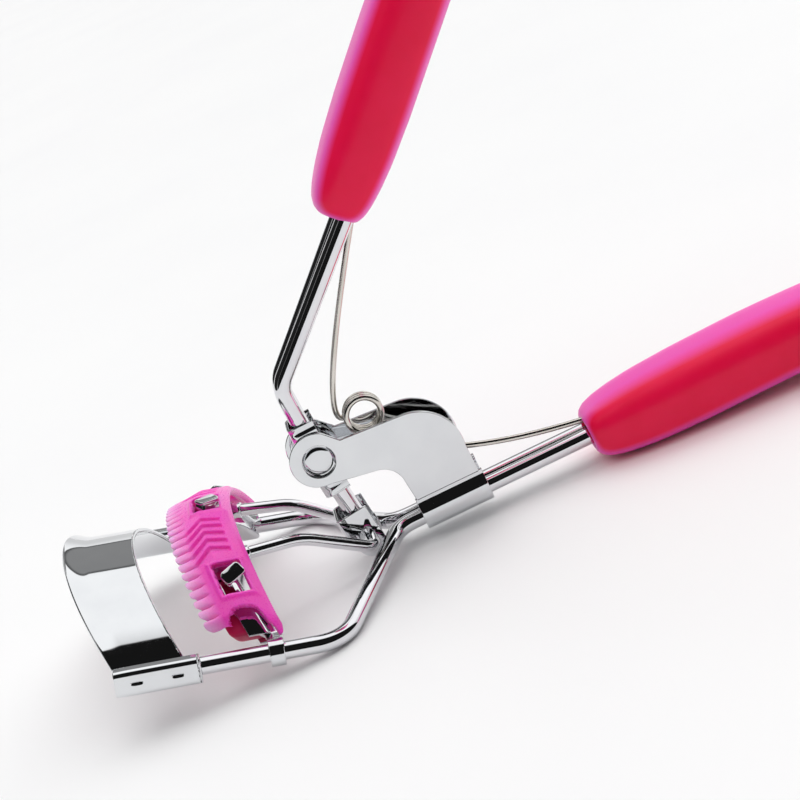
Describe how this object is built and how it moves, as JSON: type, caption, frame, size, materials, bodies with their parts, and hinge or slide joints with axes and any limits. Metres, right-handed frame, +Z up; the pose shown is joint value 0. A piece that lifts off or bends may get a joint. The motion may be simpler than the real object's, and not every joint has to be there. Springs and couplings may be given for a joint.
{
  "type": "eyelash curler",
  "caption": "Scissor-type eyelash curler: a sprung upper handle slides a padded curved jaw with a clip-on comb along two rods towards a fixed curved plate.",
  "frame": {"origin": "centre of the bounding box at floor level, with the tool standing on its two frame corners and the underside of its lower grip", "axes": "+X runs back along the tool from the fixed plate to the lower grip, +Y points to the far side of the tool, +Z is up"},
  "size_m": [0.1318, 0.048, 0.0912],
  "materials": {
    "chrome_rod": "polished",
    "chrome_sheet": "polished",
    "plated_wire": "polished",
    "rivet_steel": "polished",
    "spring_wire": "drawn wire",
    "grip_plastic": "fine satin",
    "pad_rubber": "satin",
    "comb_plastic": "gloss, slightly see-through"
  },
  "bodies": {
    "base": {"frame_rod_near": "chrome_rod", "frame_rod_far": "chrome_rod", "fixed_plate": "chrome_sheet", "saddle": "chrome_sheet", "pivot_rivet": "rivet_steel", "lower_grip": "grip_plastic", "torsion_spring": "spring_wire"},
    "lever": {"lever_rod_near": "chrome_rod", "lever_rod_far": "chrome_rod", "link_rod_near": "chrome_rod", "link_rod_far": "chrome_rod", "lever_knuckle": "chrome_sheet", "end_bracket": "chrome_sheet", "upper_grip": "grip_plastic"},
    "slider": {"push_wire": "plated_wire", "wire_lug_near": "chrome_sheet", "wire_lug_far": "chrome_sheet", "jaw": "chrome_sheet", "pad": "pad_rubber", "comb": "comb_plastic"}
  },
  "joints": [
    {"name": "lever_hinge", "type": "hinge", "parent": "base", "child": "lever", "pos_m": [-0.03033, 0, 0.0168], "axis": [0, 1, 0], "range_deg": [0, 29.4], "stiffness_Nm_per_rad": 0.15, "springref_deg": -34.38, "deforming": ["torsion_spring"]},
    {"name": "jaw_slide", "type": "slide", "parent": "base", "child": "slider", "axis": [-0.9677, 0, 0.2522], "range_m": [0, 0.0067]}
  ],
  "couplings": [
    {"joint": "jaw_slide", "follows": "lever_hinge", "m_per_rad": 0.013057}
  ]
}
